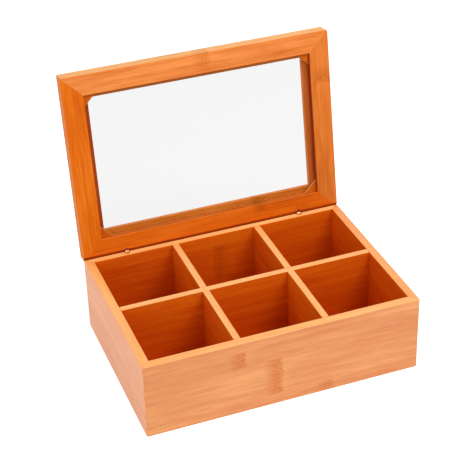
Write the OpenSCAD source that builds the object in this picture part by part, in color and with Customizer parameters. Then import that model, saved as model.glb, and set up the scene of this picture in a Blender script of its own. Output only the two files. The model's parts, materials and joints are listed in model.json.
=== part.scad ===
// Tea box of bamboo boards, with six compartments and a hinged lid that frames a clear pane.
// The lid stands open on its stop, and turning it about +X by lid_open degrees shuts it.
// The origin is the middle of the underside, with +X to the right, -Y to the front and +Z up.
// All sizes are in millimetres.

/* [Box] */
// Width of the box from left to right
body_w = 230; // [200:1:320]
// Depth of the box from front to back
body_d = 160; // [130:1:195]
// Height of the box below its lid
body_h = 66; // [45:0.5:90]
// Thickness of the four wall panels
wall_t = 7.5; // [7:0.5:10]
// Thickness of the bottom panel
bottom_t = 4; // [3:0.5:6]
// Depth of the rabbet in the walls that the bottom panel is glued into
bottom_rabbet = 3.5; // [2:0.5:5]
// Radius of the upright outer corners of the box and the lid
corner_r = 1.5; // [0.5:0.25:3]

/* [Dividers] */
// Thickness of the three dividers
divider_t = 5.5; // [4:0.5:8]
// Gap on each side of a divider in the slot of the divider that it crosses
slot_gap = 0.1; // [0.05:0.05:0.3]

/* [Lid] */
// Thickness of the lid frame
lid_t = 12.5; // [11:0.5:16]
// Width of the lid rails on the underside
rail_w = 17.5; // [14:0.5:24]
// How far the lip that carries the pane reaches in past the underside of the rails
lip_w = 4.5; // [3:0.5:7]
// Thickness of that lip
lip_t = 4.5; // [3:0.5:5.5]
// Gap between the closed lid and the rim of the box
lid_gap = 0.3; // [0.2:0.05:0.6]
// Angle between the closed lid and the lid on its open stop
lid_open = 99; // [92:1:108]
// Height of the groove that the lid's bevel leaves over the rim when the lid is open
lid_groove = 2.2; // [0:0.1:3]

/* [Pane and corner blocks] */
// Thickness of the clear pane
pane_t = 2.5; // [2:0.25:3]
// Gap between the edge of the pane and the rails
pane_gap = 0.4; // [0.1:0.1:1]
// Length of the two short sides of a corner block
block_leg = 10.5; // [7:0.5:14]
// Thickness of the corner blocks, which hold the pane against the lip
block_t = 3; // [1.5:0.25:3.5]

/* [Hinges] */
// Distance of each hinge from the middle of the box
hinge_x = 78; // [50:0.5:80]
// Distance of the hinge pins from the back of the box
hinge_inset = 2.2; // [2:0.1:2.6]
// Diameter of the hinge barrels
barrel_d = 4.6; // [4.4:0.1:5.6]
// Distance of the hinge pin from the middle of its barrels
pin_offset = 1; // [0.9:0.05:1.1]
// Length of a hinge barrel
barrel_len = 8; // [5:0.5:8.5]
// How much deeper the upper barrels are pressed in than the lid's bevel needs
barrel_sink = 1.5; // [0:0.25:2]
// Diameter of the hinge pins
pin_d = 1; // [0.8:0.1:1.2]
// Thickness of the tongue of the upper barrel
tongue_t = 1; // [0.8:0.1:1.2]
// Thickness of each of the two ears that hold the pin
ear_t = 0.9; // [0.7:0.1:1]
// Gap between moving hinge faces
hinge_gap = 0.1; // [0.05:0.05:0.15]
// Gap between the pin and the bore of the tongue, on the radius
pin_gap = 0.05; // [0.02:0.01:0.08]

/* [Hidden] */
$fn = 64;

// How far a cut runs past the face that it starts from
over = 1;

box_colour = [0.91, 0.62, 0.40];
divider_colour = [0.80, 0.42, 0.16];
lid_colour = [0.90, 0.49, 0.18];
pane_colour = [0.93, 0.95, 0.95, 0.35];
brass_colour = [0.80, 0.62, 0.30];
steel_colour = [0.72, 0.72, 0.72];

// The clear space inside the walls, and the three equal compartments across it
inner_w = body_w - 2 * wall_t;
inner_d = body_d - 2 * wall_t;
column_w = (inner_w - 2 * divider_t) / 3;
divider_x = (column_w + divider_t) / 2;
divider_h = body_h - bottom_t;
slot_w = divider_t + 2 * slot_gap;

// The lid in its closed place, and the pocket in its underside that takes the pane
lid_z = body_h + lid_gap;
pocket_w = body_w - 2 * rail_w;
pocket_d = body_d - 2 * rail_w;
pocket_h = lid_t - lip_t;
pane_z = lid_z + pocket_h - pane_t;

// The hinge line, midway between the rim and the closed lid
pin_y = body_d / 2 - hinge_inset;
pin_z = body_h + lid_gap / 2;
bevel_slope = tan(lid_open / 2);

// The barrels reach behind the pin. The ears, which stand in the lid's drilled hole when it is
// shut, stay inside a slimmer cylinder. The eye round the pin fits in it as wide as the slot is.
barrel_y = pin_y - pin_offset;
behind_pin = barrel_d / 2 - pin_offset;
ears_d = barrel_d - 2 * hinge_gap;
slot = tongue_t + 2 * hinge_gap;
eye_r = sqrt(pow(ears_d / 2, 2) - pow(slot / 2, 2)) - pin_offset;
ears_w = slot + 2 * ear_t;
pin_len = min(ears_w, 2 * sqrt(pow(ears_d / 2, 2) - pow(pin_offset + pin_d / 2, 2)));

// The slot leaves room for the tongue when the lid leans back on its stop. The upper barrel
// starts inside the bevel and stops short of the lid's upper side.
lean = lid_open - 90;
slot_depth = (eye_r + behind_pin * sin(lean)) / cos(lean) + hinge_gap;
neck = lid_gap / 2 + behind_pin * bevel_slope + hinge_gap + barrel_sink;
upper_len = min(barrel_len, lid_t - neck - 1);

// Places what is drawn for the closed lid as the open lid holds it
module open_lid() {
    translate([0, pin_y, pin_z]) rotate([-lid_open, 0, 0]) translate([0, -pin_y, -pin_z]) children();
}

// Plan of the box and the lid, with rounded corners
module outline() {
    for (sx = [-1, 1], sy = [-1, 1])
        translate([sx * (body_w / 2 - corner_r), sy * (body_d / 2 - corner_r)]) circle(corner_r);
    square([body_w - 2 * corner_r, body_d], center = true);
    square([body_w, body_d - 2 * corner_r], center = true);
}

// The part of the plan that belongs to one side, parted at 45 degrees from its neighbours
module side_share(side) {
    x = body_w / 2;
    y = body_d / 2;
    if (side == "front") polygon([[-x, -y], [x, -y], [x - y, 0], [y - x, 0]]);
    if (side == "back") polygon([[x, y], [-x, y], [y - x, 0], [x - y, 0]]);
    if (side == "left") polygon([[-x, y], [-x, -y], [y - x, 0]]);
    if (side == "right") polygon([[x, -y], [x, y], [x - y, 0]]);
}

// One mitred side of a frame as large as the box
module mitred_side(side, width, height) {
    linear_extrude(height) intersection() {
        difference() {
            outline();
            square([body_w - 2 * width, body_d - 2 * width], center = true);
        }
        side_share(side);
    }
}

// Wedge over the rear edge of a board whose upper face is at z = 0. The bevels that it leaves
// on the back panel and the lid meet at their rear edge when the lid is open. A bevel that
// starts in front of the pins leaves a groove.
module rear_bevel(groove = 0) {
    start = pin_y - groove;
    rear = body_d / 2 + over;
    slope = hinge_inset * bevel_slope / (hinge_inset + groove);
    rotate([90, 0, 90]) linear_extrude(body_w + 2 * over, center = true)
        polygon([[start, 0], [rear, (start - rear) * slope], [rear, over], [start, over]]);
}

// The bottom panel's plate, which is also the rabbet that it is glued into
module bottom_plate(height) {
    side = wall_t - bottom_rabbet;
    linear_extrude(height) square([body_w - 2 * side, body_d - 2 * side], center = true);
}

// A wall of the box, with its rabbet for the bottom panel
module wall_panel(side) {
    color(box_colour) difference() {
        mitred_side(side, wall_t, body_h);
        translate([0, 0, -over]) bottom_plate(bottom_t + over);
        translate([0, 0, body_h]) rear_bevel();
    }
}

module front_panel() {
    wall_panel("front");
}

// The back panel is drilled from above for the lower hinge barrels
module back_panel() {
    color(box_colour) difference() {
        wall_panel("back");
        for (side = [-1, 1])
            translate([side * hinge_x, barrel_y, body_h - barrel_len])
                cylinder(h = barrel_len + over, d = barrel_d);
    }
}

module left_panel() {
    wall_panel("left");
}

module right_panel() {
    wall_panel("right");
}

module bottom_panel() {
    color(divider_colour) bottom_plate(bottom_t);
}

// The divider from left to right, slotted from below at the two that it crosses
module cross_divider() {
    color(divider_colour) difference() {
        translate([-inner_w / 2, -divider_t / 2, bottom_t]) cube([inner_w, divider_t, divider_h]);
        for (side = [-1, 1])
            translate([side * divider_x - slot_w / 2, -divider_t, bottom_t - over])
                cube([slot_w, 2 * divider_t, divider_h / 2 + over]);
    }
}

// A divider from front to back, slotted from above where the cross divider drops in
module long_divider(side) {
    color(divider_colour) translate([side * divider_x, 0, bottom_t]) difference() {
        translate([-divider_t / 2, -inner_d / 2, 0]) cube([divider_t, inner_d, divider_h]);
        translate([-divider_t, -slot_w / 2, divider_h / 2])
            cube([2 * divider_t, slot_w, divider_h / 2 + over]);
    }
}

module left_divider() {
    long_divider(-1);
}

module right_divider() {
    long_divider(1);
}

// A rail of the lid, drawn closed. Its lip on the upper side carries the pane.
module closed_rail(side) {
    translate([0, 0, lid_z]) difference() {
        mitred_side(side, rail_w + lip_w, lid_t);
        translate([0, 0, -over])
            linear_extrude(pocket_h + over) square([pocket_w, pocket_d], center = true);
        mirror([0, 0, 1]) rear_bevel(lid_groove);
    }
}

module lid_front_rail() {
    color(lid_colour) open_lid() closed_rail("front");
}

// The rear rail is drilled from below for the upper hinge barrels
module lid_rear_rail() {
    color(lid_colour) open_lid() difference() {
        closed_rail("back");
        for (side = [-1, 1])
            translate([side * hinge_x, barrel_y, lid_z - over])
                cylinder(h = pin_z + neck + upper_len - lid_z + over, d = barrel_d);
    }
}

module lid_left_rail() {
    color(lid_colour) open_lid() closed_rail("left");
}

module lid_right_rail() {
    color(lid_colour) open_lid() closed_rail("right");
}

module window_pane() {
    color(pane_colour) open_lid() translate([0, 0, pane_z])
        linear_extrude(pane_t)
            square([pocket_w - 2 * pane_gap, pocket_d - 2 * pane_gap], center = true);
}

// A three-cornered block in a corner of the pocket, glued to the rails under the pane
module corner_block(sx, sy) {
    color(lid_colour) open_lid()
        translate([sx * pocket_w / 2, sy * pocket_d / 2, pane_z - block_t])
            linear_extrude(block_t)
                polygon([[0, 0], [-sx * block_leg, 0], [0, -sy * block_leg]]);
}

module front_left_block() {
    corner_block(-1, -1);
}

module front_right_block() {
    corner_block(1, -1);
}

module rear_left_block() {
    corner_block(-1, 1);
}

module rear_right_block() {
    corner_block(1, 1);
}

// The hinge line of one hinge, with the pin's middle at the origin
module at_pin(side) {
    translate([side * hinge_x, pin_y, pin_z]) children();
}

// A round bar along the hinge line
module along_pin(radius, length) {
    rotate([0, 90, 0]) cylinder(h = length, r = radius, center = true);
}

// The barrel in the back panel. Its top is flush with the rim, and two ears hold the pin.
module lower_barrel(side) {
    rim = -lid_gap / 2;
    color(brass_colour) at_pin(side) difference() {
        union() {
            translate([0, -pin_offset, rim - barrel_len]) cylinder(h = barrel_len, d = barrel_d);
            intersection() {
                translate([0, -pin_offset, -barrel_d]) cylinder(h = 2 * barrel_d, d = ears_d);
                along_pin(eye_r, ears_w);
            }
        }
        translate([-slot / 2, -eye_r - hinge_gap, -slot_depth]) cube([slot, 2 * barrel_d, barrel_d]);
        along_pin(pin_d / 2, barrel_d);
    }
}

module left_lower_barrel() {
    lower_barrel(-1);
}

module right_lower_barrel() {
    lower_barrel(1);
}

// The barrel in the lid's rear rail. Its tongue reaches between the ears and turns on the pin.
module upper_barrel(side) {
    color(brass_colour) open_lid() at_pin(side) difference() {
        union() {
            translate([0, -pin_offset, neck]) cylinder(h = upper_len, d = barrel_d);
            along_pin(eye_r, tongue_t);
            translate([-tongue_t / 2, -eye_r, 0]) cube([tongue_t, 2 * eye_r, neck + over]);
        }
        along_pin(pin_d / 2 + pin_gap, barrel_d);
    }
}

module left_upper_barrel() {
    upper_barrel(-1);
}

module right_upper_barrel() {
    upper_barrel(1);
}

module hinge_pin(side) {
    color(steel_colour) at_pin(side) along_pin(pin_d / 2, pin_len);
}

module left_hinge_pin() {
    hinge_pin(-1);
}

module right_hinge_pin() {
    hinge_pin(1);
}

front_panel();
back_panel();
left_panel();
right_panel();
bottom_panel();
cross_divider();
left_divider();
right_divider();
lid_front_rail();
lid_rear_rail();
lid_left_rail();
lid_right_rail();
window_pane();
front_left_block();
front_right_block();
rear_left_block();
rear_right_block();
left_lower_barrel();
right_lower_barrel();
left_upper_barrel();
right_upper_barrel();
left_hinge_pin();
right_hinge_pin();
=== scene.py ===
"""Tea box of laminated bamboo with a framed window lid: its looks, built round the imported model."""
import json
import math

import bmesh
import bpy
from mathutils import Matrix, Vector


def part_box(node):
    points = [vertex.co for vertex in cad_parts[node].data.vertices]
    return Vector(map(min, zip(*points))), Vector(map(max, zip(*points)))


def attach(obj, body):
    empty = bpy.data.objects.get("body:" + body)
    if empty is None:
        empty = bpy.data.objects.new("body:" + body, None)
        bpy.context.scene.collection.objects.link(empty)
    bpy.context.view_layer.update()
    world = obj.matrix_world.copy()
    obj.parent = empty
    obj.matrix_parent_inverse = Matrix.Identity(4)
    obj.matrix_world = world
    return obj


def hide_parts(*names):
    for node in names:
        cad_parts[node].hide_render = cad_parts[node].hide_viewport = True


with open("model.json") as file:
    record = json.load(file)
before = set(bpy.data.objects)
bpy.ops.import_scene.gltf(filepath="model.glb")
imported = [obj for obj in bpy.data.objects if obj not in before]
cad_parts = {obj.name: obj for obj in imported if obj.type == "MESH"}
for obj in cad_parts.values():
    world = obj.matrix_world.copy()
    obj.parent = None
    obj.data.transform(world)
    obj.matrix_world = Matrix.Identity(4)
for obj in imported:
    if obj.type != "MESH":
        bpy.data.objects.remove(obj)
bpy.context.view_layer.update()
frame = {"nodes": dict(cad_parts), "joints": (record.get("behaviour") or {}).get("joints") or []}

MM = 0.001

# Sizes and places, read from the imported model

hinge = frame["joints"][0]
PIN = Vector(hinge["pos_m"])
LID_OPEN = math.radians(hinge["range_deg"][1])
SHUT = Matrix.Translation(PIN) @ Matrix.Rotation(LID_OPEN, 4, "X") @ Matrix.Translation(-PIN)
OPEN = SHUT.inverted()


def points_of(node, turn=Matrix()):
    """The corners of a CAD node's mesh."""
    return [turn @ v.co for v in frame["nodes"][node].data.vertices]


def shut_box(node):
    """Lowest and highest corner of a node of the lid, with the lid shut."""
    axes = list(zip(*points_of(node, SHUT)))
    return Vector(map(min, axes)), Vector(map(max, axes))


HALF_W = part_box("right_panel")[1].x
HALF_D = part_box("back_panel")[1].y
RIM_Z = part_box("front_panel")[1].z
WALL = HALF_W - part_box("right_panel")[0].x
BOTTOM_LO, BOTTOM_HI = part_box("bottom_panel")
RABBET = HALF_W - BOTTOM_HI.x
CORNER_R = (HALF_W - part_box("front_panel")[1].x) / (1 - math.cos(math.radians(45)))

LID_LO, LID_HI = shut_box("lid_right_rail")
PANE_LO, PANE_HI = shut_box("window_pane")
BLOCK_LO, BLOCK_HI = shut_box("rear_right_block")
RAIL = HALF_W - BLOCK_HI.x
RAIL_AND_LIP = HALF_W - LID_LO.x

BARREL_LO, BARREL_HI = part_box("right_lower_barrel")
UPPER_HI = shut_box("right_upper_barrel")[1]
BARREL_R = (BARREL_HI.x - BARREL_LO.x) / 2
BARREL_X = (BARREL_HI.x + BARREL_LO.x) / 2
BARREL_Y = BARREL_LO.y + BARREL_R


def bevel_line(node, turn, level):
    """Where the bevel of a rear board starts, on its face at this height, and where it ends."""
    points = points_of(node, turn)
    start = max(p.y for p in points if abs(p.z - level) < 0.01 * MM)
    heights = [p.z for p in points if abs(p.y - HALF_D) < 0.01 * MM]
    end = min(heights, key=lambda z: abs(z - level))
    return Vector((0, start, level)), Vector((0, HALF_D, end))


# How the maker eased the edges, and the fine gaps that show between the pieces
EASE_OUTER = 0.6 * MM
EASE_LID = 0.4 * MM
EASE_INNER = 0.5 * MM
EASE_FINE = 0.25 * MM
ARC_STEPS = 4
CORNER_STEPS = 5
DRILL_GAP = 0.08 * MM
SLOT_GAP = 0.1 * MM


# Materials

def linear(code):
    """Linear colour, with alpha 1, of an sRGB hex code."""
    channels = [int(code[i:i + 2], 16) / 255 for i in (1, 3, 5)]
    return [c / 12.92 if c <= 0.04045 else ((c + 0.055) / 1.055) ** 2.4 for c in channels] + [1.0]


def add(tree, kind, inputs=None, ramp=None, **settings):
    """Adds a node with its settings and gives its outputs. An input is linked if it is given a
    socket, or else set. ramp is a colour ramp's blending and its stops, each (place, colour)."""
    made = tree.nodes.new(kind)
    for key, value in settings.items():
        setattr(made, key, value)
    if ramp:
        made.color_ramp.interpolation, stops = ramp
        elements = made.color_ramp.elements
        elements.remove(elements[-1])
        elements[0].position, elements[0].color = stops[0]
        for place, colour in stops[1:]:
            elements.new(place).color = colour
    for key, value in (inputs or {}).items():
        if isinstance(value, bpy.types.NodeSocket):
            tree.links.new(value, made.inputs[key])
        else:
            made.inputs[key].default_value = value
    return made.outputs


def new_material(name):
    """An empty node material and its tree."""
    material = bpy.data.materials.new(name)
    material.use_nodes = True
    material.node_tree.nodes.clear()
    return material, material.node_tree


# Finishes of the bamboo. The outside of the box and its rim are sanded and have a satin lacquer,
# which mirrors the light softly at a slant. The inside and the lid are only wiped with a stain.
FINISHES = {
    "lacquered": {"roughness": 0.5, "Specular IOR Level": 0.5,
                  "Coat Weight": 0.35, "Coat Roughness": 0.22},
    "wiped": {"roughness": 0.62, "Specular IOR Level": 0.12,
              "Coat Weight": 0.0, "Coat Roughness": 0.3},
}

# Where a strip's joint lies is kept in a ramp's colour, as a share of this length in mm
JOINT_SPAN = 400.0
# A joint's shape along the board is kept in a ramp over this length in mm
JOINT_REACH = 40.0

# Patterns of the wood: cycles a millimetre along, across and through the board, detail and
# roughness. The real fibres are 0.2 to 0.4 mm wide, and some are drawn coarser so that they show.
PATTERNS = {
    "fibre": ((0.04, 0.6, 0.6), 4.0, 0.65),
    "streak": ((0.014, 0.21, 0.21), 2.0, 0.5),
    "cloud": ((0.01, 0.04, 0.04), 1.0, 0.5),
    "ragged": ((0.14, 0.5, 0.5), 2.0, 0.5),
    "squiggle": ((0.3, 0.75, 0.75), 2.0, 0.65),
}
# How much each pattern counts in the wood's tone
WEIGHTS = {"fibre": 0.42, "streak": 0.34, "cloud": 0.24}
# How much a strip's own tone counts in it
STRIP_WEIGHT = 0.26
# How strongly the glue line between two strips shows, and half its width in mm
GLUE_STRENGTH = 0.3
GLUE_HALF_WIDTH = 0.4
# How far the fibres sway sideways, and how far a joint's edge wanders, in mm
SWAY = 7.0
WANDER = 6.0
# How a joint looks across its width: place in mm, soft brown, squiggled brown, and pale
JOINT_PROFILE = [
    (-9.0, 0.0, 0.0, 0.0),
    (-3.0, 0.5, 0.0, 0.0),
    (1.0, 0.55, 0.9, 0.0),
    (5.0, 0.35, 0.9, 0.0),
    (7.0, 0.0, 0.0, 0.3),
    (15.0, 0.0, 0.0, 0.0),
]


def bamboo(name, finish, tones, strips, seed):
    """Flat-pressed bamboo board: wide strips glued edge to edge.

    It shows fine fibres along the board, a tone of its own on each strip, a thin glue line
    between strips, and a soft brown patch with squiggled fibres where a strip crosses a joint of
    the cane, with a lighter patch beside it.
    strips are (width in mm, tone from 0 to 1, place of the joint along the board in mm, how
    strongly the joint shows from 0 to 1).
    tones are the light, middle, dark and joint colours as sRGB hex codes.
    """
    material, tree = new_material(name)
    light, middle, dark, joint = [linear(code) for code in tones]
    black = [0.0, 0.0, 0.0, 1.0]
    white = [1.0, 1.0, 1.0, 1.0]
    place = add(tree, "ShaderNodeAttribute", attribute_name="grain")["Vector"]
    axes = add(tree, "ShaderNodeSeparateXYZ", {0: place})
    moved = add(tree, "ShaderNodeVectorMath",
                {0: place, 1: (seed * 517.0, seed * 131.0, seed * 31.0)})[0]

    # The cane isn't quite straight, so the fibres sway a little as they run
    slow = add(tree, "ShaderNodeVectorMath", {0: moved, 1: (0.009, 0.02, 0.02)},
               operation="MULTIPLY")[0]
    sway = add(tree, "ShaderNodeTexNoise", {"Vector": slow, "Scale": 1.0, "Detail": 1.0})["Color"]
    swayed = add(tree, "ShaderNodeVectorMath", {0: sway, 1: (0.0, SWAY, 0.0), 2: moved},
                 operation="MULTIPLY_ADD")[0]
    pattern = {}
    for key, (cycles, detail, roughness) in PATTERNS.items():
        scaled = add(tree, "ShaderNodeVectorMath", {0: swayed, 1: cycles}, operation="MULTIPLY")[0]
        pattern[key] = add(tree, "ShaderNodeTexNoise",
                           {"Vector": scaled, "Scale": 1.0, "Detail": detail,
                            "Roughness": roughness})["Fac"]

    # Strips, by their place across the board
    total = sum(strip[0] for strip in strips)
    strip_stops = []
    glue_stops = [(0.0, black)]
    edge = 0.0
    glue = GLUE_HALF_WIDTH / total
    for width, tone, joint_place, strength in strips:
        strip_stops.append((edge, [0.5 + joint_place / JOINT_SPAN, tone, strength, 1.0]))
        if edge:
            glue_stops += [(edge - glue, black), (edge, white), (edge + glue, black)]
        edge += width / total
    share = add(tree, "ShaderNodeMath", {0: axes[1], 1: total},
                operation="DIVIDE", use_clamp=True)[0]
    strip = add(tree, "ShaderNodeSeparateColor",
                {0: add(tree, "ShaderNodeValToRGB", {0: share}, ramp=("CONSTANT", strip_stops))[0]})
    glued = add(tree, "ShaderNodeValToRGB", {0: share}, ramp=("LINEAR", glue_stops))[0]

    # Fibres, streaks and clouds add up to a tone about 0.5
    tone = add(tree, "ShaderNodeMath", {0: strip[1], 1: STRIP_WEIGHT, 2: -STRIP_WEIGHT / 2},
               operation="MULTIPLY_ADD")[0]
    for key, weight in WEIGHTS.items():
        tone = add(tree, "ShaderNodeMath", {0: pattern[key], 1: weight, 2: tone},
                   operation="MULTIPLY_ADD")[0]
    wood = add(tree, "ShaderNodeValToRGB", {0: tone},
               ramp=("LINEAR", [(0.34, dark), (0.5, middle), (0.66, light)]))[0]

    # Joint of the cane. Along the board it is soft, then squiggled, then light.
    at = add(tree, "ShaderNodeMath", {0: strip[0], 1: -JOINT_SPAN, 2: JOINT_SPAN / 2},
             operation="MULTIPLY_ADD")[0]
    away = add(tree, "ShaderNodeMath", {0: at, 1: axes[0]})[0]
    away = add(tree, "ShaderNodeMath", {0: pattern["ragged"], 1: WANDER, 2: away},
               operation="MULTIPLY_ADD")[0]
    away = add(tree, "ShaderNodeMath",
               {0: away, 1: 1 / JOINT_REACH, 2: 0.5 - WANDER / 2 / JOINT_REACH},
               operation="MULTIPLY_ADD")[0]
    stops = [(0.5 + far / JOINT_REACH, [soft, squiggled, pale, 1.0])
             for far, soft, squiggled, pale in JOINT_PROFILE]
    part = add(tree, "ShaderNodeSeparateColor",
               {0: add(tree, "ShaderNodeValToRGB", {0: away}, ramp=("LINEAR", stops))[0]})
    specks = add(tree, "ShaderNodeMapRange", {0: pattern["squiggle"], 1: 0.5, 2: 0.6, 3: 0.0, 4: 1.0})[0]
    brown = add(tree, "ShaderNodeMath", {0: specks, 1: part[1], 2: part[0]},
                operation="MULTIPLY_ADD")[0]
    brown = add(tree, "ShaderNodeMath", {0: brown, 1: strip[2]},
                operation="MULTIPLY", use_clamp=True)[0]
    pale = add(tree, "ShaderNodeMath", {0: part[2], 1: strip[2]}, operation="MULTIPLY")[0]
    seam = add(tree, "ShaderNodeMath", {0: glued, 1: GLUE_STRENGTH}, operation="MULTIPLY")[0]
    for amount, colour in ((pale, light), (brown, joint), (seam, joint)):
        wood = add(tree, "ShaderNodeMix", {0: amount, 6: wood, 7: colour}, data_type="RGBA")[2]

    # The open fibres are a little lower and duller than the wood between them
    relief = add(tree, "ShaderNodeMath", {0: brown, 1: -0.4, 2: pattern["fibre"]},
                 operation="MULTIPLY_ADD")[0]
    bump = add(tree, "ShaderNodeBump",
               {"Strength": 0.2, "Distance": 0.08 * MM, "Height": relief})[0]
    given = dict(FINISHES[finish])
    roughness = given.pop("roughness")
    dull = add(tree, "ShaderNodeMapRange",
               {0: pattern["fibre"], 1: 0.2, 2: 0.8, 3: roughness + 0.06, 4: roughness - 0.06})[0]
    shader = add(tree, "ShaderNodeBsdfPrincipled",
                 {"Base Color": wood, "Roughness": dull, "IOR": 1.5, "Normal": bump, **given})[0]
    add(tree, "ShaderNodeOutputMaterial", {"Surface": shader})
    return material


def clear_pane():
    """Clear cast acrylic, polished: it shows what is behind it a little greyer. Its IOR is lower
    than the 1.49 of acrylic, because the real pane mirrors next to nothing under the soft light.
    Light passes straight through it, so that it throws hardly any shadow."""
    material, tree = new_material("clear_cast_acrylic")
    clear = add(tree, "ShaderNodeBsdfPrincipled",
                {"Base Color": linear("#F8F8F8"), "Roughness": 0.03, "IOR": 1.1,
                 "Transmission Weight": 1.0})[0]
    passed = add(tree, "ShaderNodeBsdfTransparent", {"Color": linear("#F4F7F7")})[0]
    path = add(tree, "ShaderNodeLightPath")
    light = add(tree, "ShaderNodeMath", {0: path["Is Shadow Ray"], 1: path["Is Diffuse Ray"]},
                operation="MAXIMUM")[0]
    mixed = add(tree, "ShaderNodeMixShader", {0: light, 1: clear, 2: passed})[0]
    add(tree, "ShaderNodeOutputMaterial", {"Surface": mixed})
    return material


def turned_metal(name, code, roughness):
    """Metal turned on a lathe: bright, with rings 0.05 mm apart. They are too fine to show, so
    they are drawn as a faint change of tone and gloss over 0.3 mm."""
    material, tree = new_material(name)
    place = add(tree, "ShaderNodeTexCoord")["Object"]
    rings = add(tree, "ShaderNodeTexNoise", {"Vector": place, "Scale": 3000.0})["Fac"]
    dull = add(tree, "ShaderNodeMapRange",
               {0: rings, 1: 0.3, 2: 0.7, 3: roughness - 0.06, 4: roughness + 0.06})[0]
    bright = linear(code)
    shade = add(tree, "ShaderNodeValToRGB", {0: rings},
                ramp=("LINEAR", [(0.3, [c * 0.88 for c in bright[:3]] + [1.0]), (0.7, bright)]))[0]
    metal = add(tree, "ShaderNodeBsdfPrincipled",
                {"Base Color": shade, "Metallic": 1.0, "Roughness": dull})[0]
    add(tree, "ShaderNodeOutputMaterial", {"Surface": metal})
    return material


# Shapes

def object_from(name, mesh_builder):
    """A mesh object from a bmesh, with its faces turned outwards."""
    bmesh.ops.recalc_face_normals(mesh_builder, faces=mesh_builder.faces)
    mesh = bpy.data.meshes.new(name)
    mesh_builder.to_mesh(mesh)
    mesh_builder.free()
    made = bpy.data.objects.new(name, mesh)
    bpy.context.scene.collection.objects.link(made)
    return made


def eased(corners):
    """Outline of a board's section. Each corner is (inset, height, easing radius)."""
    outline = []
    for i, (inset, height, radius) in enumerate(corners):
        here = Vector((inset, height))
        if not radius:
            outline.append(here)
            continue
        before = (Vector(corners[i - 1][:2]) - here).normalized()
        after = (Vector(corners[(i + 1) % len(corners)][:2]) - here).normalized()
        centre = here + (before + after) * radius
        for k in range(ARC_STEPS + 1):
            turn = math.radians(90) * k / ARC_STEPS
            outline.append(centre - (after * math.cos(turn) + before * math.sin(turn)) * radius)
    return outline


def round_the_corner(inset):
    """How a line of the board at this inset runs from the mitre to the straight, as pairs of
    (distance from the end of the box, inset). Lines near the outside follow the rounded corner."""
    pairs = []
    for k in range(CORNER_STEPS + 1):
        share = k / CORNER_STEPS
        if inset < CORNER_R:
            turn = math.radians(45 + 45 * share)
            radius = CORNER_R - inset
            pairs.append((CORNER_R - radius * math.cos(turn), CORNER_R - radius * math.sin(turn)))
        else:
            pairs.append((inset + CORNER_R * share, inset))
    return pairs


# For each side of the box: the way that its board runs, and the way that it faces
SIDES = {
    "front": (Vector((1, 0, 0)), Vector((0, -1, 0))),
    "right": (Vector((0, 1, 0)), Vector((1, 0, 0))),
    "back": (Vector((-1, 0, 0)), Vector((0, 1, 0))),
    "left": (Vector((0, -1, 0)), Vector((-1, 0, 0))),
}


def mitred_board(name, side, section):
    """A board with this section, mitred at both ends to meet its neighbours."""
    along, outward = SIDES[side]
    half, reach = (HALF_W, HALF_D) if side in ("front", "back") else (HALF_D, HALF_W)
    builder = bmesh.new()
    lines = []
    for inset, height in section:
        pairs = round_the_corner(inset)
        ends = [(d - half, i) for d, i in pairs] + [(half - d, i) for d, i in reversed(pairs)]
        lines.append([builder.verts.new(along * a + outward * (reach - i) + Vector((0, 0, height)))
                      for a, i in ends])
    for j, line in enumerate(lines):
        previous = lines[j - 1]
        for k in range(len(line) - 1):
            builder.faces.new((previous[k], previous[k + 1], line[k + 1], line[k]))
    builder.faces.new([line[0] for line in lines])
    builder.faces.new([line[-1] for line in lines])
    return object_from(name, builder)


def bevel_rear_edge(piece, start, end, up):
    """Cuts the rear edge off along a slant from start to end. up is 1 for the back of the box,
    whose upper edge is cut, and -1 for the lid's lower edge."""
    builder = bmesh.new()
    builder.from_mesh(piece.data)
    normal = Vector((0, abs(end.z - start.z), up * (end.y - start.y)))
    geometry = builder.verts[:] + builder.edges[:] + builder.faces[:]
    cut = bmesh.ops.bisect_plane(builder, geom=geometry, plane_co=start, plane_no=normal,
                                 clear_outer=True)
    rim = [g for g in cut["geom_cut"] if isinstance(g, bmesh.types.BMEdge)]
    bmesh.ops.contextual_create(builder, geom=rim)
    bmesh.ops.recalc_face_normals(builder, faces=builder.faces)
    builder.to_mesh(piece.data)
    builder.free()


def plank(name, low, high, ease):
    """A plain board between two corners, with eased edges."""
    builder = bmesh.new()
    size = high - low
    place = Matrix.Translation((low + high) / 2) @ Matrix.Diagonal((*size, 1))
    bmesh.ops.create_cube(builder, size=1, matrix=place)
    bmesh.ops.bevel(builder, geom=builder.edges[:], offset=ease, segments=2, affect="EDGES",
                    profile=0.5)
    return object_from(name, builder)


def cut_away(piece, cutters):
    """Cuts the cutters out of the piece, and removes them."""
    for cutter in cutters:
        modifier = piece.modifiers.new("cut", "BOOLEAN")
        modifier.operation = "DIFFERENCE"
        modifier.solver = "EXACT"
        modifier.object = cutter
    evaluated = piece.evaluated_get(bpy.context.evaluated_depsgraph_get())
    result = bpy.data.meshes.new_from_object(evaluated)
    piece.modifiers.clear()
    piece.data = result
    for cutter in cutters:
        bpy.data.objects.remove(cutter)


def drill(x, low, high):
    """A cutter for the hole of one hinge barrel."""
    builder = bmesh.new()
    radius = BARREL_R + DRILL_GAP
    place = Matrix.Translation((x, BARREL_Y, (low + high) / 2))
    bmesh.ops.create_cone(builder, cap_ends=True, segments=48, radius1=radius, radius2=radius,
                          depth=high - low, matrix=place)
    return object_from("drill", builder)


def lay_grain(piece, along, across, start):
    """Stores where each point lies on its board, in millimetres: along the grain, across the
    strips from start, and through the thickness. The wood is a pattern on these."""
    through = along.cross(across)
    stored = piece.data.attributes.new("grain", "FLOAT_VECTOR", "POINT")
    for point, place in zip(piece.data.vertices, stored.data):
        spot = (point.co.dot(along), point.co.dot(across) - start, point.co.dot(through))
        place.vector = Vector(spot) / MM


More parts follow.
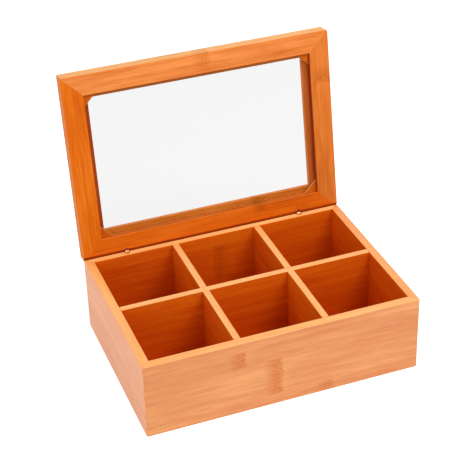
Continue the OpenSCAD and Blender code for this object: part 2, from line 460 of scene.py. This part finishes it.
def coat(piece, materials, choose):
    """Gives each face one of the materials. choose takes a face's normal and middle, and says
    which."""
    piece.data.materials.clear()
    order = list(materials)
    for key in order:
        piece.data.materials.append(materials[key])
    for face in piece.data.polygons:
        face.material_index = order.index(choose(face.normal, face.center))


def finish_piece(piece, body, nodes, opened=False):
    """Gives the piece its place and body, and lets it stand for its CAD nodes."""
    if opened:
        piece.data.transform(OPEN)
    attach(piece, body)
    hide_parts(*nodes)


# Light, middle, dark and joint tones of each group of faces. All but the outer face tones and the lid's
# outside tones
# hold painted light and shade: each group is made lighter or darker by the light and shade that fall on
# it.
FACE_TONES = ("#E89E5E", "#DC8A4A", "#CE763A", "#CC6810")
# Painted light: the left wall's face is lighter and pinker, for the light and sheen on that side.
LEFT_PAINTED_LIGHT_TONES = ("#F6A66C", "#EE9758", "#E48646", "#CC6C20")
# Painted light and shade: each side of the rim has its own tones for the light that falls there. The
# back rim is lighter to make up for the shade of the open lid over it, and the right rim is darker.
RIM_PAINTED_LIGHT_AND_SHADE_TONES = {
    "front": ("#EEAE6A", "#E8A058", "#DC9048", "#C87828"),
    "right": ("#E89C58", "#E08D47", "#D47E38", "#BC6418"),
    "back": ("#F6BA76", "#F2AE6A", "#E69E58", "#C87828"),
    "left": ("#EEAE6A", "#E8A058", "#DC9048", "#C87828"),
}
# Painted shade: the inside of the box is darker and redder, for the shade inside the compartments.
INSIDE_PAINTED_SHADE_TONES = ("#DC6606", "#D15600", "#C34600", "#942E00")
# Painted shade: the bevels at the back of the walls and the lid's rails, which make the groove behind
# the open lid, are dark for the shade in that groove.
BEVEL_PAINTED_SHADE_TONES = ("#CA5810", "#BC4A00", "#A84000", "#8A3000")
LID_TONES = ("#E88E4C", "#E08240", "#D27030", "#C06414")
# Painted light: the lid's front edge, which faces up with the lid open, is lighter for the light that
# falls on it.
FRONT_EDGE_PAINTED_LIGHT_TONES = ("#E6AC74", "#DE9E62", "#D08C4E", "#C07838")
# Painted light and shade: the underside of each rail has tones of its own, lighter or darker by the
# light and shade on that rail.
RAIL_PAINTED_LIGHT_AND_SHADE_TONES = {
    "front": ("#EA9048", "#DA7D3A", "#C86820", "#B8580E"),
    "right": ("#DE8038", "#CF6F25", "#BA5A12", "#A24A06"),
    "back": ("#E2741A", "#D56100", "#BE4E00", "#A03C00"),
    "left": ("#E47A1C", "#D36402", "#BA5000", "#A04000"),
}
# Painted shade: the walls of the pane's pocket are darker, most on the right and left rails, for the
# shade deep in the pocket.
POCKET_PAINTED_SHADE_TONES = {
    "front": ("#C86A30", "#B85C24", "#A84E18", "#8C3C08"),
    "right": ("#A43A04", "#962C00", "#862400", "#6A1A00"),
    "back": ("#CC6C28", "#BC5C18", "#AA4C0C", "#8C3C04"),
    "left": ("#983A04", "#882E00", "#782400", "#601A00"),
}
# Painted light and shade: the lips, seen through the pane, are dark on the left in the shadow of the
# rail, and lighter on the right where light falls.
LIP_PAINTED_LIGHT_AND_SHADE_TONES = {
    "front": ("#D07830", "#C46C24", "#B45E18", "#984A0C"),
    "right": ("#E88038", "#DC7028", "#CC601A", "#B04C0C"),
    "back": ("#D67C30", "#CB6E20", "#BA5E14", "#9C4A08"),
    "left": ("#B84E10", "#A84006", "#963400", "#782600"),
}
# Painted shade: the corner blocks are darker and redder, for the shade on them down in the pocket.
BLOCK_PAINTED_SHADE_TONES = ("#D06808", "#C25800", "#B04C00", "#964000")


# The box's four walls

WALL_SECTION = eased([
    (0, 0, EASE_OUTER),
    (RABBET, 0, 0),
    (RABBET, BOTTOM_HI.z, 0),
    (WALL, BOTTOM_HI.z, 0),
    (WALL, RIM_Z, EASE_INNER),
    (0, RIM_Z, EASE_OUTER),
])

# Strips of each wall from the underside up
WALL_STRIPS = {
    "front": [(9.6, 0.5, 35.0, 0.7), (33.7, 0.55, -8.8, 1.0), (14.2, 0.46, -38.8, 0.9),
              (8.5, 0.56, 150.0, 0)],
    "right": [(18.0, 0.5, 22.0, 0.8), (21.0, 0.6, -51.0, 0.9), (27.0, 0.45, 61.0, 0.6)],
    "back": [(20.5, 0.55, 67.0, 0.9), (19.0, 0.42, -12.0, 1.0), (26.5, 0.58, -84.0, 0.7)],
    "left": [(22.0, 0.5, 150.0, 0), (23.5, 0.56, 150.0, 0), (20.5, 0.5, 150.0, 0)],
}
# Strips of each wall on the inside. The upper strips have lighter tones: painted light on the upper part
# of the inside.
INSIDE_STRIPS = {
    "front": [(31.0, 0.5, -70.0, 0.7), (35.0, 0.55, 40.0, 0.8)],
    "right": [(35.0, 0.5, 30.0, 0.5), (31.0, 0.6, 120.0, 0.0)],
    "back": [(22.0, 0.42, 28.0, 0.5), (33.0, 0.5, -3.0, 0.35), (11.0, 0.8, 150.0, 0)],
    "left": [(35.0, 0.5, -30.0, 0.5), (31.0, 0.6, 120.0, 0.0)],
}
BOX_BEVEL = bevel_line("back_panel", Matrix(), RIM_Z)


def make_wall(side, seed):
    along, outward = SIDES[side]
    wall = mitred_board(f"{side}_wall", side, WALL_SECTION)
    if side != "front":
        bevel_rear_edge(wall, *BOX_BEVEL, 1)
    if side == "back":
        cut_away(wall, [drill(x, BARREL_LO.z - DRILL_GAP, RIM_Z + WALL)
                        for x in (-BARREL_X, BARREL_X)])
    lay_grain(wall, along, Vector((0, 0, 1)), 0)
    # The left wall's face takes lighter tones, painted light; the rim, inside and bevel tones hold
    # painted light and shade too.
    face_tones = LEFT_PAINTED_LIGHT_TONES if side == "left" else FACE_TONES
    materials = {
        "face": bamboo(f"bamboo_{side}_wall", "lacquered", face_tones, WALL_STRIPS[side], seed),
        "rim": bamboo(f"bamboo_{side}_rim", "lacquered", RIM_PAINTED_LIGHT_AND_SHADE_TONES[side],
                      [(RIM_Z / MM, 0.5, 150.0, 0)], seed + 4),
        "inside": bamboo(f"bamboo_{side}_inside", "wiped", INSIDE_PAINTED_SHADE_TONES, INSIDE_STRIPS[side],
                         seed + 8),
        "bevel": bamboo(f"bamboo_{side}_bevel", "wiped", BEVEL_PAINTED_SHADE_TONES, WALL_STRIPS[side], seed + 12),
    }

    def choose(normal, middle):
        if normal.z > 0.9:
            return "rim"
        if normal.y > 0.3 and normal.z > 0.3:
            return "bevel"
        return "inside" if normal.dot(outward) < -0.5 else "face"

    coat(wall, materials, choose)
    finish_piece(wall, "box", [f"{side}_panel"])


for seed, side in enumerate(SIDES):
    make_wall(side, seed)


# Bottom and dividers

def coat_inner_board(board, strips, seed, upper, lower):
    """Wiped inside, and lacquered on the rim with the upper tones or underneath with the lower."""
    name = board.name
    # The inside takes tones of painted shade, and the upper edge takes the rim's tones of painted light
    # and shade.
    materials = {
        "inside": bamboo(f"bamboo_{name}", "wiped", INSIDE_PAINTED_SHADE_TONES, strips, seed),
        "edge": bamboo(f"bamboo_{name}_edge", "lacquered", upper or lower,
                       [(sum(s[0] for s in strips), 0.5, 150.0, 0)], seed + 4),
    }

    def choose(normal, middle):
        at_edge = normal.z > 0.9 and middle.z > RIM_Z - 2 * EASE_FINE if upper else normal.z < -0.9
        return "edge" if at_edge else "inside"

    coat(board, materials, choose)


def make_bottom():
    bottom = plank("bottom_board", BOTTOM_LO, BOTTOM_HI, EASE_FINE)
    lay_grain(bottom, Vector((1, 0, 0)), Vector((0, 1, 0)), BOTTOM_LO.y)
    strips = [(38.0, 0.5, -60.0, 0.8), (40.0, 0.6, 30.0, 1), (37.0, 0.45, 85.0, 0.8),
              (37.0, 0.55, -15.0, 0.9)]
    coat_inner_board(bottom, strips, 12, None, FACE_TONES)
    finish_piece(bottom, "box", ["bottom_panel"])


CROSS_LO, CROSS_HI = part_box("cross_divider")
LONG_LO, LONG_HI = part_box("right_divider")
HALF_LAP_Z = (CROSS_LO.z + CROSS_HI.z) / 2


def make_cross_divider():
    """The divider from left to right, slotted from below."""
    board = plank("cross_divider_board", CROSS_LO, CROSS_HI, EASE_FINE)
    slots = []
    for side in (-1, 1):
        middle = side * (LONG_LO.x + LONG_HI.x) / 2
        half = (LONG_HI.x - LONG_LO.x) / 2 + SLOT_GAP
        slots.append(plank("slot", Vector((middle - half, CROSS_LO.y - WALL, CROSS_LO.z - WALL)),
                           Vector((middle + half, CROSS_HI.y + WALL, HALF_LAP_Z)), SLOT_GAP))
    cut_away(board, slots)
    lay_grain(board, Vector((1, 0, 0)), Vector((0, 0, 1)), CROSS_LO.z)
    # The strips are lighter towards the top: painted light on the upper part of the divider.
    strips = [(26.0, 0.4, -150.0, 0), (24.0, 0.5, 150.0, 0), (12.0, 0.8, 150.0, 0)]
    coat_inner_board(board, strips, 13, RIM_PAINTED_LIGHT_AND_SHADE_TONES["front"], None)
    finish_piece(board, "box", ["cross_divider"])


def make_long_divider(name, seed):
    """A divider from front to back, slotted from above."""
    low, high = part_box(name)
    board = plank(f"{name}_board", low, high, EASE_FINE)
    half = (CROSS_HI.y - CROSS_LO.y) / 2 + SLOT_GAP
    slot = plank("slot", Vector((low.x - WALL, -half, HALF_LAP_Z)),
                 Vector((high.x + WALL, half, high.z + WALL)), SLOT_GAP)
    cut_away(board, [slot])
    lay_grain(board, Vector((0, 1, 0)), Vector((0, 0, 1)), low.z)
    # The strips are lighter towards the top: painted light on the upper part of the divider.
    strips = [(32.0, 0.62, 150.0, 0), (20.0, 0.7, -150.0, 0), (10.0, 0.85, 150.0, 0)]
    coat_inner_board(board, strips, seed, RIM_PAINTED_LIGHT_AND_SHADE_TONES["front"], None)
    finish_piece(board, "box", [name])


make_bottom()
make_cross_divider()
make_long_divider("left_divider", 14)
make_long_divider("right_divider", 15)


# The lid, shaped shut and then opened

LID_SECTION = eased([
    (0, LID_LO.z, EASE_LID),
    (RAIL, LID_LO.z, EASE_INNER),
    (RAIL, PANE_HI.z, 0),
    (RAIL_AND_LIP, PANE_HI.z, EASE_FINE),
    (RAIL_AND_LIP, LID_HI.z, EASE_OUTER),
    (0, LID_HI.z, EASE_OUTER),
])

# Strips of each rail from its outer edge inwards
RAIL_STRIPS = {
    "front": [(12.0, 0.6, 4.0, 0.5), (10.0, 0.5, -63.0, 0)],
    "right": [(13.0, 0.5, -42.0, 0.5), (9.0, 0.58, 150.0, 0)],
    "back": [(10.5, 0.5, -82.0, 0.3), (11.5, 0.45, -44.0, 0.5)],
    "left": [(9.5, 0.5, 150.0, 0), (12.5, 0.58, 150.0, 0)],
}
RAIL_NODES = {"front": "lid_front_rail", "right": "lid_right_rail", "back": "lid_rear_rail",
              "left": "lid_left_rail"}
LID_BEVEL = bevel_line("lid_rear_rail", SHUT, LID_LO.z)


def make_rail(side, seed):
    along, outward = SIDES[side]
    rail = mitred_board(f"{side}_rail", side, LID_SECTION)
    if side != "front":
        bevel_rear_edge(rail, *LID_BEVEL, -1)
    if side == "back":
        cut_away(rail, [drill(x, LID_LO.z - WALL, UPPER_HI.z + DRILL_GAP)
                        for x in (-BARREL_X, BARREL_X)])
    reach = HALF_D if side in ("front", "back") else HALF_W
    lay_grain(rail, along, -outward, -reach)
    strips = RAIL_STRIPS[side]
    # The underside, pocket, lip and bevel tones hold painted light and shade, and so do the front rail's
    # edge tones.
    materials = {
        "outside": bamboo(f"bamboo_{side}_rail", "wiped", LID_TONES, strips, seed + 4),
        "edge": bamboo(f"bamboo_{side}_rail_edge", "wiped",
                       FRONT_EDGE_PAINTED_LIGHT_TONES if side == "front" else LID_TONES, strips, seed + 6),
        "underside": bamboo(f"bamboo_{side}_rail_underside", "wiped", RAIL_PAINTED_LIGHT_AND_SHADE_TONES[side], strips, seed),
        "pocket": bamboo(f"bamboo_{side}_rail_pocket", "wiped", POCKET_PAINTED_SHADE_TONES[side], strips, seed + 8),
        "lip": bamboo(f"bamboo_{side}_rail_lip", "wiped", LIP_PAINTED_LIGHT_AND_SHADE_TONES[side], strips, seed + 10),
        "bevel": bamboo(f"bamboo_{side}_rail_bevel", "wiped", BEVEL_PAINTED_SHADE_TONES, strips, seed + 12),
    }

    def choose(normal, middle):
        if normal.y > 0.3 and normal.z < -0.3:
            return "bevel"
        if normal.dot(outward) > 0.7:
            return "edge"
        if normal.z < -0.3:
            return "lip" if middle.z > PANE_HI.z - EASE_FINE else "underside"
        deep = LID_LO.z + EASE_INNER < middle.z < PANE_HI.z - EASE_FINE
        return "pocket" if deep and normal.dot(outward) < -0.5 else "outside"

    coat(rail, materials, choose)
    finish_piece(rail, "lid", [RAIL_NODES[side]], opened=True)


for seed, side in enumerate(SIDES, start=24):
    make_rail(side, seed)


def make_pane():
    pane = plank("window", PANE_LO, PANE_HI, EASE_FINE)
    pane.data.materials.append(clear_pane())
    finish_piece(pane, "lid", ["window_pane"], opened=True)


make_pane()


# Corner blocks of the lid: one block, set into the four corners of the pocket

def corner_tree():
    """Geometry Nodes that set the block into each corner of a pocket of the given size, turned
    so that its two short sides lie on the pocket's walls."""
    tree = bpy.data.node_groups.new("blocks_in_pocket_corners", "GeometryNodeTree")
    face = tree.interface
    face.new_socket("Block", in_out="INPUT", socket_type="NodeSocketGeometry")
    for name in ("Pocket Width", "Pocket Depth"):
        face.new_socket(name, in_out="INPUT", socket_type="NodeSocketFloat")
    face.new_socket("Wood", in_out="INPUT", socket_type="NodeSocketMaterial")
    face.new_socket("Blocks", in_out="OUTPUT", socket_type="NodeSocketGeometry")
    given = add(tree, "NodeGroupInput")
    corners = add(tree, "GeometryNodeMeshGrid",
                  {"Size X": given["Pocket Width"], "Size Y": given["Pocket Depth"],
                   "Vertices X": 2, "Vertices Y": 2})[0]
    place = add(tree, "ShaderNodeSeparateXYZ", {0: add(tree, "GeometryNodeInputPosition")[0]})
    east = add(tree, "ShaderNodeMath", {0: place[0]}, operation="SIGN")[0]
    north = add(tree, "ShaderNodeMath", {0: place[1]}, operation="SIGN")[0]
    corner = add(tree, "ShaderNodeMath", {0: north, 1: east}, operation="ARCTAN2")[0]
    quarter = add(tree, "ShaderNodeMath", {0: corner, 1: math.radians(-45)})[0]
    turn = add(tree, "ShaderNodeCombineXYZ", {2: quarter})[0]
    blocks = add(tree, "GeometryNodeInstanceOnPoints",
                 {"Points": corners, "Instance": given["Block"], "Rotation": turn})[0]
    real = add(tree, "GeometryNodeRealizeInstances", {0: blocks})[0]
    coated = add(tree, "GeometryNodeSetMaterial", {"Geometry": real, "Material": given["Wood"]})[0]
    add(tree, "NodeGroupOutput", {0: coated})
    return tree


def apply_tree(piece, tree, **inputs):
    """Runs the tree on the piece with these inputs, and keeps the result as its plain mesh."""
    modifier = piece.modifiers.new("tree", "NODES")
    modifier.node_group = tree
    for socket in tree.interface.items_tree:
        key = socket.name.lower().replace(" ", "_")
        if socket.in_out == "INPUT" and key in inputs:
            modifier[socket.identifier] = inputs[key]
    evaluated = piece.evaluated_get(bpy.context.evaluated_depsgraph_get())
    result = bpy.data.meshes.new_from_object(evaluated)
    piece.modifiers.clear()
    piece.data = result


def make_corner_blocks():
    leg = BLOCK_HI.x - BLOCK_LO.x
    thickness = BLOCK_HI.z - BLOCK_LO.z
    builder = bmesh.new()
    outline = [builder.verts.new(p) for p in ((0, 0, 0), (-leg, 0, 0), (0, -leg, 0))]
    base = builder.faces.new(outline)
    grown = bmesh.ops.extrude_face_region(builder, geom=[base])
    top = [g for g in grown["geom"] if isinstance(g, bmesh.types.BMVert)]
    bmesh.ops.translate(builder, verts=top, vec=(0, 0, thickness))
    bmesh.ops.bevel(builder, geom=builder.edges[:], offset=EASE_FINE, segments=2,
                    affect="EDGES")
    blocks = object_from("corner_blocks", builder)
    strips = [(200.0, 0.5, 190.0, 0)]
    # The blocks take tones of painted shade, and their sides take the front rail's underside tones of
    # painted light and shade.
    wood = bamboo("bamboo_corner_blocks", "wiped", BLOCK_PAINTED_SHADE_TONES, strips, 36)
    cut = bamboo("bamboo_corner_block_sides", "wiped", RAIL_PAINTED_LIGHT_AND_SHADE_TONES["front"], strips, 37)
    apply_tree(blocks, corner_tree(), pocket_width=2 * BLOCK_HI.x,
               pocket_depth=2 * BLOCK_HI.y, wood=wood)
    blocks.data.transform(Matrix.Translation((0, 0, BLOCK_LO.z)))
    lay_grain(blocks, Vector((1, -1, 0)).normalized(), Vector((1, 1, 0)).normalized(), -HALF_W)
    coat(blocks, {"face": wood, "side": cut},
         lambda normal, middle: "face" if abs(normal.z) > 0.9 else "side")
    finish_piece(blocks, "lid",
                 ["front_left_block", "front_right_block", "rear_left_block", "rear_right_block"],
                 opened=True)


make_corner_blocks()


# Hinges keep their CAD shape

BRASS = turned_metal("turned_brass", "#EA9E66", 0.45)
STEEL = turned_metal("drawn_steel", "#B9B9B9", 0.25)
for hand in ("left", "right"):
    for part, metal in (("lower_barrel", BRASS), ("upper_barrel", BRASS), ("hinge_pin", STEEL)):
        shown = frame["nodes"][f"{hand}_{part}"]
        shown.data.materials.clear()
        shown.data.materials.append(metal)


# Floor, light and camera

def white_floor():
    """A pale studio floor, which keeps the shadow of the box. It shows as white to the camera,
    and as white in the gloss of the box and behind the clear pane."""
    material, tree = new_material("white_studio_floor")
    paint = add(tree, "ShaderNodeBsdfPrincipled",
                {"Base Color": linear("#E8E8E8"), "Roughness": 0.9, "IOR": 1.3})[0]
    lift = add(tree, "ShaderNodeEmission", {"Color": (1, 1, 1, 1), "Strength": 0.6})[0]
    lifted = add(tree, "ShaderNodeAddShader", {0: paint, 1: lift})[0]
    white = add(tree, "ShaderNodeEmission", {"Color": (1, 1, 1, 1), "Strength": 1.0})[0]
    whitened = add(tree, "ShaderNodeMixShader", {0: 0.7, 1: paint, 2: white})[0]
    path = add(tree, "ShaderNodeLightPath")
    beyond = add(tree, "ShaderNodeMath", {0: path["Is Glossy Ray"], 1: path["Is Transmission Ray"]},
                 operation="MAXIMUM")[0]
    mixed = add(tree, "ShaderNodeMixShader", {0: path["Is Camera Ray"], 1: paint, 2: lifted})[0]
    mixed = add(tree, "ShaderNodeMixShader", {0: beyond, 1: mixed, 2: whitened})[0]
    add(tree, "ShaderNodeOutputMaterial", {"Surface": mixed})
    return material


def make_floor():
    builder = bmesh.new()
    bmesh.ops.create_grid(builder, x_segments=1, y_segments=1, size=6.0,
                          matrix=Matrix.Translation((0, 0, -0.2 * MM)))
    floor = object_from("floor", builder)
    floor.data.materials.append(white_floor())


def make_world():
    """Soft light from all round. The camera, gloss and clear pieces see it as plain white."""
    world = bpy.data.worlds.new("soft_studio")
    bpy.context.scene.world = world
    world.use_nodes = True
    tree = world.node_tree
    tree.nodes.clear()
    soft = add(tree, "ShaderNodeBackground", {"Color": (1, 1, 1, 1), "Strength": 0.7})[0]
    white = add(tree, "ShaderNodeBackground", {"Color": (1, 1, 1, 1), "Strength": 1.0})[0]
    path = add(tree, "ShaderNodeLightPath")
    seen = path["Is Camera Ray"]
    for kind in ("Is Transmission Ray", "Is Glossy Ray"):
        seen = add(tree, "ShaderNodeMath", {0: seen, 1: path[kind]}, operation="MAXIMUM")[0]
    mixed = add(tree, "ShaderNodeMixShader", {0: seen, 1: soft, 2: white})[0]
    add(tree, "ShaderNodeOutputWorld", {"Surface": mixed})


def aimed(place, target):
    """Rotation that turns a lamp's -Z from place to target."""
    return (Vector(target) - Vector(place)).to_track_quat("-Z", "Y").to_euler()


def area_lamp(name, place, target, size, power):
    lamp = bpy.data.lights.new(name, "AREA")
    lamp.shape = "SQUARE"
    lamp.size = size
    lamp.energy = power
    made = bpy.data.objects.new(name, lamp)
    made.location = place
    made.rotation_euler = aimed(place, target)
    bpy.context.scene.collection.objects.link(made)


make_floor()
make_world()
area_lamp("overhead_softbox", (0.6, -0.5, 1.45), (0, 0, 0.05), 0.8, 16.0)
area_lamp("front_softbox", (0.1, -1.6, 0.9), (0, 0, 0.1), 1.0, 3.0)
area_lamp("left_softbox", (-1.5, -0.4, 0.9), (0, 0, 0.1), 1.0, 5.0)

# The camera's view of the box: angles, distance, the point that it looks at, and its lens
VIEW_AZIMUTH = -19.936
VIEW_ELEVATION = 32.133
VIEW_ROLL = -1.736
VIEW_DISTANCE = 1.1713
AIM_RIGHT = -0.01336
AIM_UP = 0.09307
LENS_MM = 108.50
SENSOR_MM = 36.0


def make_camera():
    azimuth, elevation, roll = (math.radians(a) for a in (VIEW_AZIMUTH, VIEW_ELEVATION, VIEW_ROLL))
    back = Vector((math.sin(azimuth) * math.cos(elevation), -math.cos(azimuth) * math.cos(elevation),
                   math.sin(elevation)))
    level = (-back).cross(Vector((0, 0, 1))).normalized()
    upright = level.cross(-back)
    right = math.cos(roll) * level + math.sin(roll) * upright
    up = math.cos(roll) * upright - math.sin(roll) * level
    data = bpy.data.cameras.new("camera")
    data.lens = LENS_MM
    data.sensor_width = SENSOR_MM
    camera = bpy.data.objects.new("camera", data)
    turn = Matrix((right, up, back)).transposed().to_4x4()
    place = back * VIEW_DISTANCE + right * AIM_RIGHT + up * AIM_UP
    camera.matrix_world = Matrix.Translation(place) @ turn
    bpy.context.scene.collection.objects.link(camera)
    bpy.context.scene.camera = camera


make_camera()
bpy.context.scene.view_settings.view_transform = "Standard"
